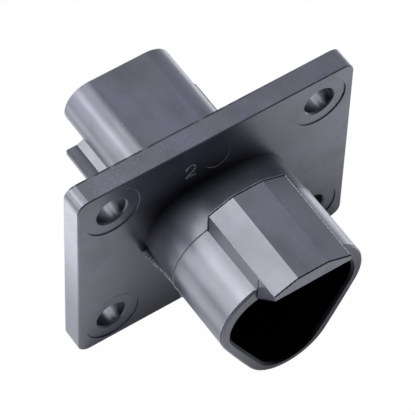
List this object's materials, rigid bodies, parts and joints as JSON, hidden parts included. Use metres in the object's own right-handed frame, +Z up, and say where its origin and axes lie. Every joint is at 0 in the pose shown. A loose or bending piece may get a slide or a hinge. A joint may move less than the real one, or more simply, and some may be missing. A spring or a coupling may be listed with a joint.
{
  "type": "flange mount receptacle",
  "caption": "Sealed receptacle with a rounded-triangle shroud under a hooded keyway, a rectangular screw-mount flange, pin contacts, a wedge lock and a ribbed wire seal.",
  "frame": {"origin": "on the mating axis, in the plane of the mounting flange's rear face, midway between the screw holes", "axes": "-Y towards the mating end, +Y towards the wire end, +Z up towards the hood, +X to the right seen from the mating end"},
  "size_m": [0.0442, 0.0468, 0.0346],
  "materials": {
    "housing_plastic": "black moulded engineering plastic, satin",
    "flange_plastic": "black moulded engineering plastic, satin",
    "lock_plastic": "black moulded plastic, satin",
    "seal_rubber": "soft orange silicone, matte",
    "contact_metal": "nickel-plated turned copper alloy"
  },
  "bodies": {
    "root": {"receptacle_housing": "housing_plastic", "mounting_flange": "flange_plastic", "wedge_lock": "lock_plastic", "wire_seal": "seal_rubber", "contact_pin_1": "contact_metal", "contact_pin_2": "contact_metal", "contact_pin_3": "contact_metal"}
  },
  "joints": []
}
